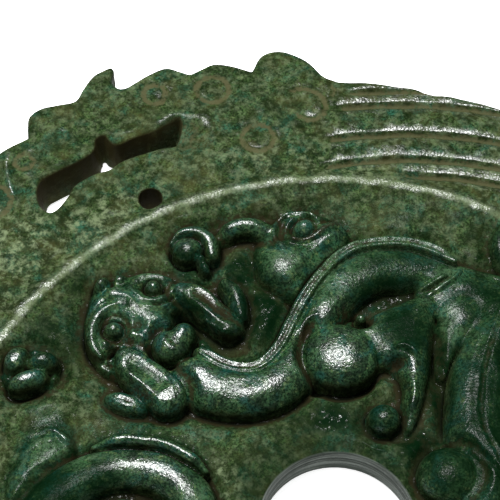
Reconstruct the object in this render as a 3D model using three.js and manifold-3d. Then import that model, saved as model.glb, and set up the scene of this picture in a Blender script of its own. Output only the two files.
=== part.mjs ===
// A bi disc carved from one slab of jade. A round field with a bore holds four curling dragons in
// relief, and the pierced border is two dragon heads in profile, each with a long flowing mane.
// Millimetres, +Z up, origin at the middle of the flat underside. Every motif is drawn once for half
// the disc, and the other half is the same carving half a turn round.
import * as THREE from "three";
import { mergeVertices } from "three/addons/utils/BufferGeometryUtils.js";
import Module from "manifold-3d";

const wasm = await Module();
wasm.setup();

// Driving dimensions
const BORE_RADIUS = 15;
const RIM_RADIUS = 78; // the crisp line between field and border
const EDGE_RADIUS = 104.3; // the smooth outer edge beside the manes
const BORDER_TOP = 10.2;
const FIELD_TOP = 8.3;
const RELIEF_TOP = 14; // the crown of the highest haunch
const RELIEF_ROOT = 7; // where the round bodies would be widest, under the field's surface
const EDGE_ROUND = 1.6;
const EDGE_FACETS = 1;
const DRILL_RADIUS = 2.5;
const TURN_FACETS = 60;
const SMALL_BOSS = 5; // swellings up to this half-length are faceted more coarsely
const OVERRUN = 3; // how far a cutter runs past the faces that it cuts
const DEGREE = Math.PI / 180;

function polar(radius, degrees) {
  return [radius * Math.cos(degrees * DEGREE), radius * Math.sin(degrees * DEGREE)];
}

// A closed geometry as a solid that can be joined and cut.
function solid(geometry) {
  const bare = geometry.clone();
  bare.deleteAttribute("normal");
  bare.deleteAttribute("uv");
  const merged = mergeVertices(bare, 1e-4);
  const corners = merged.index.array;
  const triVerts = [];
  for (let i = 0; i < corners.length; i += 3) {
    const [a, b, c] = corners.slice(i, i + 3);
    if (a !== b && b !== c && c !== a) triVerts.push(a, b, c);
  }
  const vertProperties = merged.attributes.position.array;
  return new wasm.Manifold(
    new wasm.Mesh({ numProp: 3, vertProperties, triVerts: new Uint32Array(triVerts) }),
  );
}

// The piece as drawn, and the same piece half a turn round.
function pair(geometry) {
  return [solid(geometry), solid(geometry.clone().rotateZ(Math.PI))];
}

function geometryOf(piece) {
  const { vertProperties, triVerts } = piece.getMesh();
  const geometry = new THREE.BufferGeometry();
  geometry.setAttribute("position", new THREE.BufferAttribute(vertProperties, 3));
  geometry.setIndex(new THREE.BufferAttribute(triVerts, 1));
  geometry.computeVertexNormals();
  return geometry;
}

// A ring or disc turned about Z from a closed profile of [radius, height], given anticlockwise.
function turned(profile, facets = TURN_FACETS) {
  const points = [...profile, profile[0]].map(([radius, height]) => new THREE.Vector2(radius, height));
  return new THREE.LatheGeometry(points, facets).rotateX(Math.PI / 2);
}

// A prism from z = low to z = high over an outline.
function prism(outline, low, high) {
  const settings = { depth: high - low, bevelEnabled: false };
  return new THREE.ExtrudeGeometry(new THREE.Shape(outline), settings).translate(0, 0, low);
}

// A smooth run of points through a few given ones.
function smooth(points, step) {
  const curve = new THREE.SplineCurve(points.map(([x, y]) => new THREE.Vector2(x, y)));
  return curve.getSpacedPoints(Math.max(2, Math.round(curve.getLength() / step)));
}

// The border's outline, half of it. Each lobe meets the next in a crisp notch.
const EDGE_FROM = 154; // degrees, where the plain mane edge starts
const EDGE_TO = 268.5; // degrees, where the other dragon's crown starts
const EDGE_STEP = 4.5;
const LOBE_STEP = 2.9;
const TAIL_NOTCH = polar(107.4, 140);
const LOBES = [
  // crown knob, brow knob, cheek and hook of the horn, back of the horn, nose
  [polar(EDGE_RADIUS, 88.5), [-0.6, 105.9], [-4.2, 110.1], [-9.6, 112.7], [-14.2, 111.3], [-16.4, 106.8]],
  [[-16.4, 106.8], [-20.5, 108.4], [-25, 109], [-30.2, 106.1]],
  [[-30.2, 106.1], [-35.8, 107.8], [-40.8, 105], [-45, 102.3], [-47.3, 104.6], [-47.9, 108.1]],
  [[-47.9, 108.1], [-51.6, 105.9], [-53.9, 102], [-55.6, 98.5], [-59.5, 97.6]],
  [[-59.5, 97.6], [-63, 96.6], [-65.3, 94.7], [-65.5, 92], [-65.2, 88.8]],
  // curled tail tip of the other dragon, and the cloud behind it
  [[-65.2, 88.8], [-70.8, 85.1], polar(110.5, 135.5), TAIL_NOTCH],
  [TAIL_NOTCH, polar(110.5, 144.5), polar(108.5, 149.5), polar(EDGE_RADIUS, EDGE_FROM)],
];

function halfOutline() {
  const lobes = LOBES.flatMap((lobe) => smooth(lobe, LOBE_STEP).slice(0, -1));
  const steps = Math.round((EDGE_TO - EDGE_FROM) / EDGE_STEP);
  for (let i = 0; i < steps; i += 1) {
    const at = EDGE_FROM + ((EDGE_TO - EDGE_FROM) * i) / steps;
    lobes.push(new THREE.Vector2(...polar(EDGE_RADIUS, at)));
  }
  return lobes;
}

// The slab: the full outline, with its edges rounded over above and below.
function slab() {
  const half = halfOutline();
  const turnedHalf = half.map((point) => point.clone().negate());
  const settings = {
    depth: BORDER_TOP - 2 * EDGE_ROUND,
    bevelThickness: EDGE_ROUND,
    bevelSize: EDGE_ROUND,
    bevelOffset: -EDGE_ROUND,
    bevelSegments: EDGE_FACETS,
  };
  const shape = new THREE.Shape([...half, ...turnedHalf]);
  return new THREE.ExtrudeGeometry(shape, settings).translate(0, 0, EDGE_ROUND);
}

// The sunk field: level from the bore out, then a smooth band that climbs to the rim.
function fieldCutter() {
  const above = BORDER_TOP + OVERRUN;
  return turned([
    [BORE_RADIUS - OVERRUN, FIELD_TOP],
    [RIM_RADIUS - 10, FIELD_TOP],
    [RIM_RADIUS - 4, FIELD_TOP + 0.6],
    [RIM_RADIUS - 0.8, BORDER_TOP - 0.5],
    [RIM_RADIUS - 0.2, above],
    [BORE_RADIUS - OVERRUN, above],
  ]);
}

// The fine groove just outside the rim.
function rimGroove() {
  const groove = { width: 1, depth: 0.5 };
  const middle = RIM_RADIUS + 1.1;
  return turned([
    [middle, BORDER_TOP - groove.depth],
    [middle + groove.width / 2, BORDER_TOP + groove.depth],
    [middle - groove.width / 2, BORDER_TOP + groove.depth],
  ]);
}

function hole(radius, x, y, facets) {
  const height = BORDER_TOP + 2 * OVERRUN;
  return new THREE.CylinderGeometry(radius, radius, height, facets)
    .rotateX(Math.PI / 2)
    .translate(x, y, BORDER_TOP / 2);
}

// The open mouth, a slot right through the border with one upright tooth notch.
const MOUTH = [
  // far lip and tooth notch
  [-62.2, 74.8], [-61.4, 77.5], [-58.6, 79.5], [-51.2, 84.4], [-50.4, 88.2], [-48.6, 89.3], [-47, 87.4],
  [-45.4, 86.7], [-41.7, 88.6], [-37.5, 90.6], [-32.6, 94],
  // corner of the mouth and near lip
  [-31.4, 92.8], [-31.6, 90], [-32.6, 87.4], [-35.4, 85.9], [-44.2, 82.4], [-46.9, 80.2], [-50.2, 79],
  [-54, 76.3], [-55.6, 73.1], [-58.6, 69.3], [-61.3, 71],
];

function mouthCutter() {
  const outline = MOUTH.map(([x, y]) => new THREE.Vector2(x, y)).reverse();
  return prism(outline, -OVERRUN, BORDER_TOP + OVERRUN);
}

// Mane grooves: V cuts that leave the head or the rim and spiral clockwise out to the edge.
const MANE = { rise: 0.3, halfWidth: 1.9, depth: 0.9, stepDegrees: 9 };
const MANE_AT_HEAD = [[92, 80.5], [91, 87.5], [89.5, 95.9], [88, 100.2]]; // [degrees, radius]
const MANE_AT_RIM = [79, 59, 39, 19, -1].map((from) => [from, RIM_RADIUS + 2.6]);
const MANE_END = -21; // degrees, where the mane meets the tail tip

function maneCutter([from, radius]) {
  const last = EDGE_RADIUS + OVERRUN;
  const to = Math.max(MANE_END, from - (last - radius) / MANE.rise);
  const steps = Math.ceil((from - to) / MANE.stepDegrees);
  const way = [];
  for (let i = 0; i <= steps; i += 1) {
    const at = from + ((to - from) * i) / steps;
    way.push(new THREE.Vector3(...polar(radius + MANE.rise * (from - at), at), BORDER_TOP));
  }
  // The section's first axis points down along the way, its second across it.
  const section = new THREE.Shape([
    new THREE.Vector2(MANE.depth, 0),
    new THREE.Vector2(-MANE.depth, MANE.halfWidth),
    new THREE.Vector2(-MANE.depth, -MANE.halfWidth),
  ]);
  const extrudePath = new THREE.CatmullRomCurve3(way);
  return new THREE.ExtrudeGeometry(section, { steps, extrudePath, bevelEnabled: false });
}

// A round body or limb lying in the field: an oval section swept along a smooth way.
function limb(points, halfWidth, top, step = 5, sides = 8) {
  const way = new THREE.CatmullRomCurve3(points.map(([x, y]) => new THREE.Vector3(x, y, RELIEF_ROOT)));
  const section = new THREE.Shape();
  section.absellipse(0, 0, top - RELIEF_ROOT, halfWidth, 0, 2 * Math.PI);
  const oval = new THREE.Shape(section.getSpacedPoints(sides).slice(0, -1));
  const steps = Math.max(2, Math.round(way.getLength() / step));
  return new THREE.ExtrudeGeometry(oval, { steps, extrudePath: way, bevelEnabled: false });
}

// A rounded swelling: an ellipsoid whose lower part is in the slab.
function boss(x, y, long, wide, top, turn = 0) {
  const sides = long > SMALL_BOSS ? 12 : 8;
  return new THREE.SphereGeometry(1, sides, 6)
    .rotateX(Math.PI / 2)
    .scale(long, wide, top - RELIEF_ROOT)
    .rotateZ(turn * DEGREE)
    .translate(x, y, RELIEF_ROOT);
}

// The first dragon: its head faces the rim, its body bends past the haunch, and its tail goes under the
// other dragon's body.
function firstDragon() {
  const body = [
    [-33, 32.2], [-28, 30.6], [-23, 28.3], [-17, 27.5], [-11.5, 29.3], [-7.2, 34.2], [-4.2, 40.5],
    [-1, 46.5], [3, 52], [9, 55.6], [15.5, 55.9], [21, 54.6], [26.5, 53.4],
  ];
  const hindLeg = [[5, 41], [11, 43.5], [16, 44.5], [18, 40], [17.6, 33], [16, 26], [14.3, 21]];
  return [
    limb(body, 5.3, 12.6),
    limb([[25, 53.8], [31, 52.8], [37, 52]], 3.4, 9.8),
    limb(hindLeg, 3.4, 11.4, 4),
    boss(1.8, 35.4, 7.6, 7.4, RELIEF_TOP), // haunch
    boss(9.5, 21.6, 3.5, 3.4, 12.2), // hind paw
    boss(28, 46, 7, 4.6, 10.9, 8), // slope behind the knee
    boss(-7.5, 59, 8.5, 10.5, 12.2, 15), // shoulder
    limb([[-12, 64.5], [-16.5, 66], [-20.5, 65.4], [-25, 62.6]], 2.3, 11.2, 4), // foreleg
    boss(-29.3, 60, 4.9, 4.7, 12), // fore paw
    boss(-40.3, 45, 10.2, 9, 12.6, 53), // brow
    boss(-45.5, 49.5, 5, 4.6, 11.8, 135), // snout
    boss(-32.6, 37.4, 4.1, 3.9, 13.3), // crown ball
    boss(-37, 30.5, 9.6, 4.6, 12.6, -43), // near ear
    boss(-25.4, 46, 8.4, 3.6, 12.4, -40), // far ear
    boss(-20, 48.4, 2.2, 4.6, 11.8), // tuft beside the far ear
    boss(-41.4, 25.4, 4.8, 2.3, 10.4, -20), // leaf
  ];
}

// The second dragon, most of it in keeping with the first: it climbs past the bore, arches over its
// haunch and turns its head back to the rim.
function secondDragon() {
  const body = [
    [-42, -58], [-38.6, -50], [-34.6, -41], [-30.8, -31], [-29.2, -20], [-28, -9], [-27, 0], [-28.6, 6.3],
    [-34, 10.3], [-41, 11.4], [-47.5, 10], [-53.2, 6], [-57, 0], [-58.6, -8], [-57.5, -16],
  ];
  const hindLeg = [[-41, -6], [-46, -11], [-46, -16], [-42.5, -19]];
  const tail = [[-40, -52], [-36.8, -56.5], [-35.2, -62], [-37, -66.5]];
  return [
    limb(body, 5, 12.3),
    limb([[-57, 13], [-57.4, 21], [-59.5, 28]], 5, 9.4), // foreleg, lying low
    limb(hindLeg, 3.2, 11.3, 4),
    limb(tail, 2.2, 10.8, 4),
    boss(-40.5, -1.6, 7.6, 7.2, 13.1), // haunch
    boss(-21.6, -10, 6.3, 6.1, 12.8), // fore haunch beside the bore
    boss(-57.5, 12, 6, 8, 10.8, 15), // shoulder
    boss(-60.8, 32.2, 5.9, 5.2, 12.2, 10), // fore paw
    boss(-39.4, -20.6, 3.1, 3.1, 11.5), // hind paw
    boss(-52.5, -27, 10, 8.8, 12.4, -40), // brow
    boss(-55.8, -35.4, 4.8, 4.4, 12, 60), // snout
    boss(-50.5, -19.5, 3.6, 3.4, 13), // crown ball
    boss(-63.4, -14.6, 8.4, 3.8, 12.4, 107), // outer ear
    boss(-41.2, -31.6, 7, 3.4, 12.3, -26), // inner ear
  ];
}

function carvedDisc() {
  const cutters = [
    ...pair(mouthCutter()),
    ...pair(hole(DRILL_RADIUS, -37.9, 72.9, 14)),
    ...[...MANE_AT_HEAD, ...MANE_AT_RIM].flatMap((start) => pair(maneCutter(start))),
    solid(rimGroove()),
  ];
  const bore = solid(hole(BORE_RADIUS, 0, 0, TURN_FACETS));
  let piece = solid(slab()).subtract(solid(fieldCutter()));
  for (const relief of [...firstDragon(), ...secondDragon()].flatMap(pair)) piece = piece.add(relief);
  for (const cutter of cutters) piece = piece.subtract(cutter);
  return piece.subtract(bore);
}

const jade = new THREE.MeshStandardMaterial({ color: 0x2f5a3c, roughness: 0.25, metalness: 0 });

const disc = new THREE.Group();
const carved = new THREE.Mesh(geometryOf(carvedDisc()), jade);
carved.name = "carved_disc";
disc.add(carved);

export default disc;
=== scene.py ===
import math
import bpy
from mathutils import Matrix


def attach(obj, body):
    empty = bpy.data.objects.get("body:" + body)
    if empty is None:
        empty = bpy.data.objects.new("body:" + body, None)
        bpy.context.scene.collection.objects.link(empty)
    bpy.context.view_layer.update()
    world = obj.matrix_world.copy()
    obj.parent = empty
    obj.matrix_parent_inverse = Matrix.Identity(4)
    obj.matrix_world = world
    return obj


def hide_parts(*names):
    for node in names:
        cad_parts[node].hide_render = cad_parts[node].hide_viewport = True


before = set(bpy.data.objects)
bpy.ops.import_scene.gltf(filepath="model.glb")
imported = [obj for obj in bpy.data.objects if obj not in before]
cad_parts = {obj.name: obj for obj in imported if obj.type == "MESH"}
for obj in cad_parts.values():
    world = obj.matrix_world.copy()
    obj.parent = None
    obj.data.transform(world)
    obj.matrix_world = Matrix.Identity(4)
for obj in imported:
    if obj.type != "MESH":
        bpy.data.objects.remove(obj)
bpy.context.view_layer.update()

from types import SimpleNamespace

import bpy
import numpy as np
import openvdb
from mathutils import Vector

# Lengths are millimetres until the mesh is made, and the scene is in metres
MM = 0.001
BORE_RADIUS = 15.0
RIM_RADIUS = 78.0
EDGE_RADIUS = 104.2
BORDER_TOP = 10.2
FIELD_TOP = 8.3
# Raised forms start a little under the ground, and the cuts beside them stop at this floor
RELIEF_ROOT = 7.0
CUT_FLOOR = 6.9
# How deep and how wide the ground is cut back round a form, where nothing else is said
MOAT = (0.9, 3.0)
# Past everything here, as a distance or a height
FAR = 1e3

# The grid of cells that carries the heights
CELL = 0.32
SPAN = 114.0
COUNT = 2 * round(SPAN / CELL)
AXIS = ((np.arange(COUNT) - (COUNT - 1) / 2) * CELL).astype(np.float32)
X, Y = np.meshgrid(AXIS, AXIS, indexing="ij")
RADIUS = np.hypot(X, Y)
FACES_WANTED = 190_000


def polar(radius, degrees):
    angle = math.radians(degrees)
    return radius * math.cos(angle), radius * math.sin(angle)


# Curves


def smooth(p, step):
    """A smooth run from the second point to the one before the last, which is left out."""
    rows = []
    for a, b, c, d in zip(p[:-3], p[1:-2], p[2:-1], p[3:]):
        count = max(2, math.ceil(math.dist(b[:2], c[:2]) / step))
        t = (np.arange(count) / count)[:, None]
        bend = 2 * a - 5 * b + 4 * c - d
        turn = -a + 3 * b - 3 * c + d
        rows.append(b + 0.5 * ((c - a) * t + bend * t**2 + turn * t**3))
    return np.vstack(rows)


def spline(points, step=0.35):
    """A smooth run through given points. Every column is carried along, not only x and y."""
    p = np.array(points, float)
    p = np.vstack([2 * p[0] - p[1], p, 2 * p[-1] - p[-2]])
    return np.vstack([smooth(p, step), p[-2:-1]])


def closed(points, step=0.5):
    """A smooth closed loop through given points."""
    return smooth(np.array([points[-1], *points, *points[:2]], float), step)


def beside(points, offset):
    """The same run moved sideways, to the left of its direction where offset is above 0."""
    rows = spline([(x, y) for x, y, *_ in points], 1.0)
    way = np.gradient(rows, axis=0)
    way /= np.linalg.norm(way, axis=1, keepdims=True)
    moved = rows + offset * np.column_stack([-way[:, 1], way[:, 0]])
    return [tuple(p) for p in moved[::4]]


def tapered(points, half, top, end_half, end_top):
    """A run of one half-width and top, but for its two ends."""
    run = [(x, y, half, top) for x, y in points]
    for end in (0, -1):
        run[end] = (*points[end], end_half, end_top)
    return run


def spiral(x, y, radius_from, radius_to, angle_from, angle_to, step_degrees=20):
    """Points of a flat spiral round a centre."""
    count = max(3, math.ceil(abs(angle_to - angle_from) / step_degrees) + 1)
    angles = np.linspace(angle_from, angle_to, count)
    arms = [polar(r, a) for r, a in zip(np.linspace(radius_from, radius_to, count), angles)]
    return [(x + across, y + up) for across, up in arms]


def soft_step(t):
    t = np.clip(t, 0, 1)
    return t * t * (3 - 2 * t)


# The slab as it is carved: a height over every cell, how much brown residue lies there, how worn the
# polish is, and how dark the stone is painted, partly for wax and partly as painted shade. Each cut is made
# twice, as drawn and half a turn round, through a turned view of the same arrays.


class Slab:
    def __init__(self):
        self.height, self.stain, self.worn, self.wax_and_shade = np.zeros((4, COUNT, COUNT), np.float32)

    def halves(self):
        yield self.height, self.stain
        yield self.height[::-1, ::-1], self.stain[::-1, ::-1]


slab = Slab()


def window(low, high):
    """The slices of the grid that cover a rectangle, given by two of its corners."""
    first = [int(max(0, math.floor((v + SPAN) / CELL - 1))) for v in low]
    last = [int(min(COUNT, math.ceil((v + SPAN) / CELL + 1))) for v in high]
    return slice(first[0], last[0]), slice(first[1], last[1])


def round_window(x, y, reach):
    return window((x - reach, y - reach), (x + reach, y + reach))


def along(rows, reach):
    """For cells near a run of x, y, half-width: the window, how far off the run is in half-widths and in
    millimetres past its edge, and which row is the nearest."""
    pad = rows[:, 2].max() + reach
    where = window(rows[:, :2].min(axis=0) - pad, rows[:, :2].max(axis=0) + pad)
    share, gap = np.full((2, *X[where].shape), FAR, np.float32)
    nearest = np.zeros(share.shape, np.int32)
    for i, (x, y, half) in enumerate(rows[:, :3]):
        spot = round_window(x, y, half + reach)
        local = tuple(slice(s.start - w.start, s.stop - w.start) for s, w in zip(spot, where))
        distance = np.hypot(X[spot] - x, Y[spot] - y)
        closer = distance / half < share[local]
        share[local] = np.where(closer, distance / half, share[local])
        gap[local] = np.minimum(gap[local], distance - half)
        nearest[local] = np.where(closer, i, nearest[local])
    return where, share, gap, nearest


def oval(x, y, long, wide, turn, reach):
    """For cells near a turned oval: the window, and their place along its axes in half-lengths."""
    where = round_window(x, y, max(long, wide) + reach)
    c, s = polar(1, turn)
    u = ((X[where] - x) * c + (Y[where] - y) * s) / long
    v = (-(X[where] - x) * s + (Y[where] - y) * c) / wide
    return where, u, v


def join(under, over, blend):
    """The higher of two surfaces, with a fillet of the given size where they meet."""
    if blend <= 0:
        return np.maximum(under, over)
    mix = np.clip(0.5 + 0.5 * (over - under) / blend, 0, 1)
    return under * (1 - mix) + over * mix + blend * mix * (1 - mix)


def lay(where, over, gap, blend, moat, brown):
    """Lays a rounded form on the slab. moat is how deep the ground is cut back round it and how wide,
    and brown is how much residue that cut holds."""
    depth, width = moat
    falloff = 1 - soft_step((gap - 0.15 * width) / (0.95 * width))
    for height, stain in slab.halves():
        before = height[where]
        ground = np.maximum(before - depth * falloff, np.minimum(before, CUT_FLOOR))
        height[where] = join(ground, over, blend)
        inside = soft_step(0.5 - gap / 0.8)
        stain[where] = np.maximum(stain[where], brown * falloff) * (1 - inside)


def swelling(share, root, top, flat):
    """The height of a rounded form, flatter on top and steeper at its edge where flat is larger."""
    rise = (1 - np.clip(share, 0, 1) ** flat) ** (1 / flat)
    return np.where(share < 1, root + (top - root) * rise, -FAR).astype(np.float32)


def tube(points, blend=0.0, moat=MOAT, brown=0.6, root=RELIEF_ROOT, flat=2.0):
    """A limb through points of x, y, half-width, top."""
    rows = spline(points)
    where, share, gap, nearest = along(rows, moat[1] + 1)
    over = swelling(share, root, rows[:, 3][nearest], flat)
    lay(where, over, gap, blend, moat, brown)


def boss(x, y, long, wide, top, turn=0.0, blend=0.0, moat=MOAT, brown=0.6, root=RELIEF_ROOT, flat=2.0):
    """A rounded oval swelling."""
    where, u, v = oval(x, y, long, wide, turn, moat[1] + 1)
    share = np.sqrt(u * u + v * v)
    steep = np.sqrt((u / long) ** 2 + (v / wide) ** 2) / np.maximum(share, 1e-3)
    gap = (share - 1) / np.maximum(steep, 1e-3)
    lay(where, swelling(share, root, top, flat), gap, blend, moat, brown)


def plate(points, top, round_over, moat=MOAT, brown=0.6, dome=0.0):
    """A form with a free outline: it rises over its rounded edge to a top, domed a little further in."""
    loop = closed(points)
    reach = max(6.0, round_over + 2, moat[1] + 1)
    where = window(loop.min(axis=0) - reach, loop.max(axis=0) + reach)
    gap = loop_distance(loop, where, reach)
    part = np.clip(-gap / round_over, 0, 1)
    rise = np.sqrt(np.clip(1 - (1 - part) ** 2, 0, 1))
    over = RELIEF_ROOT + (top - RELIEF_ROOT) * rise + dome * soft_step(-gap / reach)
    over = np.where(gap < 0, over, -FAR).astype(np.float32)
    lay(where, over, gap, 0, moat, brown)


def ribbon(points, half, top, brown, moat=(0.4, 0.9)):
    """A spine: a raised band with a groove down its middle."""
    run = tapered(points, half, top, 0.5 * half, top - 0.8)
    tube(run, blend=0.3, moat=moat, brown=brown, flat=2.2, root=8.0)
    line(points, 0.5 * half, 0.75, brown=0.6, taper=3)


def take_out(where, cut, depth, brown, soak=1.3):
    """Lowers the slab by depth where cut is 1, and leaves residue there, up the sides where soak is large."""
    for height, stain in slab.halves():
        height[where] -= depth * cut
        stain[where] = np.maximum(stain[where], brown * np.clip(soak * cut, 0, 1))


def line(points, half, depth, brown=0.0, taper=2.0):
    """A groove along a curve, or a raised line where depth is below 0. It fades over taper at each end."""
    rows = spline(points)
    run = np.concatenate([[0], np.cumsum(np.hypot(*np.diff(rows, axis=0).T))])
    ends = np.minimum(run, run[-1] - run)
    strength = soft_step(0.15 + 0.85 * ends / taper)
    rows = np.column_stack([rows, np.full(len(rows), half)])
    where, share, _, nearest = along(rows, 0.3)
    cut = np.clip(1 - share**2, 0, 1) ** 1.5 * strength[nearest]
    take_out(where, cut, depth, brown)


def ring(x, y, radius, half, depth, brown):
    """A round groove."""
    where = round_window(x, y, radius + half + 1)
    off = (np.hypot(X[where] - x, Y[where] - y) - radius) / half
    take_out(where, np.clip(1 - off**2, 0, 1) ** 1.5, depth, brown)


def dish(x, y, long, wide, depth, turn=0.0, brown=0.0):
    """A smooth hollow, or a soft swelling where depth is below 0."""
    where, u, v = oval(x, y, long, wide, turn, 1)
    take_out(where, np.clip(1 - u * u - v * v, 0, 1) ** 2, depth, brown, soak=2)


def patch(values, x, y, long, wide, amount, turn=0.0):
    """A soft oval patch of wear or wax."""
    where, u, v = oval(x, y, long, wide, turn, 1)
    strength = amount * soft_step(1.6 * (1 - np.sqrt(u * u + v * v)))
    for view in (values, values[::-1, ::-1]):
        view[where] = np.maximum(view[where], strength)


# The plain slab under the carving: radius, height

SLAB_PROFILE = [
    (0, 7.9), (BORE_RADIUS, 7.9), (16.2, 8.25), (18.5, 8.75), (21, 8.85), (24, 8.6), (28, 8.35),
    (34, FIELD_TOP), (64, FIELD_TOP), (69, 8.65), (73.5, 9.2), (75.6, 9.65), (76.8, 10.25),
    (RIM_RADIUS, 10.5), (79.2, 10.35), (80.2, 9.9), (81, 9.8), (82, 9.98), (84, 10.1), (88, BORDER_TOP),
    (98, BORDER_TOP), (130, 10.1),
]


def plain_slab():
    """The profile turned round the axis, with its corners softened."""
    radii, heights = zip(*SLAB_PROFILE)
    fine = np.linspace(0, radii[-1], 5200)
    soft = 16
    kernel = np.hanning(2 * soft + 1)
    level = np.pad(np.interp(fine, radii, heights), soft, mode="edge")
    level = np.convolve(level, kernel / kernel.sum(), mode="valid")
    slab.height[:] = np.interp(RADIUS, fine, level)


# The border: two dragon heads in profile, with manes that spiral clockwise out to the edge

# Millimetres outward for each degree, where the ridges end, and the angle and radius where each starts
MANE_RISE = 0.3
MANE_END = -21
MANE_AT_HEAD = [(92, 80.5), (91, 87.5), (89.5, 95.9), (88, 100.2)]
MANE_AT_RIM = [(at, RIM_RADIUS + 2.2) for at in (79, 59, 39, 19, -1)]


def mane_way(start, radius):
    stop = max(MANE_END, start - (EDGE_RADIUS + 2 - radius) / MANE_RISE)
    angles = np.linspace(start, stop, max(4, math.ceil((start - stop) / 4)))
    return [polar(radius + MANE_RISE * (start - a), a) for a in angles]


def mane():
    for start, radius in MANE_AT_HEAD + MANE_AT_RIM:
        way = mane_way(start, radius)
        line(way, 3, 0.35, taper=10)
        line(way, 1.05, 0.95, brown=0.8, taper=5)


HEAD_RINGS = [
    # x, y, radius: brow and cheek curls, and the nostril
    (-37.9, 100, 2.5), (-25, 101.3, 3.6), (-15, 88.3, 3.5), (-65.4, 82.1, 2), (-71.5, 72, 4),
]


def border_head():
    for x, y, radius in HEAD_RINGS:
        ring(x, y, radius, 1.05, 0.22, brown=0.85)
    line(spiral(-4.2, 96.3, 2.4, 5.6, 200, 500), 1.05, 0.35, brown=0.85)
    line([(0.9, 98.6), (1.8, 101), (0.8, 103.6)], 0.8, 0.35, brown=0.75)
    # a fold beside the tail tip, the recess at the corner of the mouth and the lips
    line([(-68.8, 85.5), (-69.1, 81), (-68.2, 77), (-67.3, 73)], 0.8, -0.5)
    dish(-31, 89, 6.4, 6.2, 2.3, brown=0.45)
    line([(-61.5, 79.6), (-57, 82.2), (-52, 85.4), (-51.3, 88.8), (-48.6, 90.8), (-46.4, 88.4)], 0.9, -0.12)
    line([(-46.4, 88.4), (-41.7, 90.4), (-37.5, 92.4), (-33, 94.8)], 0.9, -0.12)
    dish(-12, 99, 12, 8, -0.35, 20)
    dish(-52, 95, 12, 6, -0.3, 30)


# The field

FIRST_BODY = [
    # x, y, half-width, top
    (-33, 32.2, 4.4, 12), (-28, 30.6, 5.9, 13), (-23, 28.3, 5.8, 13.2), (-17, 27.5, 5.5, 13.2),
    (-11.5, 29.3, 5.5, 13), (-7.2, 34.2, 5.2, 12.8), (-4.2, 40.5, 4.9, 12.6), (-1, 46.5, 5, 12.4),
    (3, 52, 5.3, 12.3), (9, 55.6, 5.3, 12.2), (15.5, 55.9, 5, 11.9), (21, 54.6, 4.4, 11.2),
    (26.5, 53.4, 3.8, 10.4), (32, 52.6, 3.2, 9.6), (37, 52, 2.6, 8.8),
]
FIRST_SPINE = [
    (-27.6, 36.4), (-25.5, 35), (-23, 33.4), (-20, 32.3), (-17, 32), (-14.5, 32.9), (-12.1, 35.2),
    (-10.2, 38.2), (-8.8, 41.4), (-7.3, 44.8), (-5.7, 48), (-3.8, 51.2), (-1.6, 54.2), (0.8, 57), (4, 59.4),
    (8, 60.8), (13, 61.3), (18, 60.7), (22, 59.1), (25.5, 56.6),
]


def first_shoulder():
    plate([
        (-15.6, 56), (-13.6, 52.4), (-10.6, 50), (-6.5, 48.6), (-2, 52), (3, 58), (4.5, 62.5), (3, 66.6),
        (-1.5, 69.4), (-7, 70), (-12, 68.6), (-15, 65.6), (-16, 61),
    ], 10.8, 4.2, moat=(1, 3.2), dome=0.6)
    boss(-9.2, 56.6, 6.6, 5.4, 12.4, 25, blend=1.4, moat=(0, 0.5), brown=0)
    # the curl on the shoulder and its tail
    dish(-7, 65, 6.4, 4.4, 0.9, 10, brown=0.3)
    boss(-5.4, 65.2, 2.5, 2.1, 12.2, 30, blend=0.2, moat=(1, 1.2), root=9)
    line(spiral(-6.3, 64.9, 6, 4.2, 235, 30), 0.9, -1.2)
    line(spiral(-6.1, 64.8, 3.9, 2.6, 270, 80), 0.7, -0.8)
    line([(-9, 62.2), (-5.8, 61.6), (-3, 62.9), (-0.5, 65), (3.4, 66.8)], 1, -0.9, brown=0.7)
    line([(-2.8, 65.8), (-1, 67.2), (1.6, 68.2)], 1.1, 1, brown=0.7)
    # the foreleg, reaching for the paw
    tube([(-13, 65, 2.4, 10.2), (-16.5, 66, 2.4, 11.6), (-20.5, 65.4, 2.2, 11.4), (-24, 63, 1.8, 10.2)],
         blend=0.5, moat=(1.6, 3.2), brown=0.9)


def first_paw():
    # a toe curled round a round pad, and two small claws
    tube([(-33, 61.6, 0.8, 10.8), (-31, 63.6, 1.6, 11.3), (-28, 63.9, 2.1, 11.6), (-25.3, 61.8, 2.2, 11.6),
          (-24.7, 58.8, 1.6, 11)], moat=(1.4, 2.8), brown=0.7, flat=2.3)
    boss(-29.8, 59.8, 3.3, 3.1, 12.3, moat=(1.3, 1), brown=0.5, root=8, flat=2.4)
    for x, y in ((-26.8, 57.4), (-26.1, 55.4)):
        boss(x, y, 1.6, 1.2, 11.6, -60, moat=(0.6, 0.8), brown=0.5, root=8)


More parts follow.
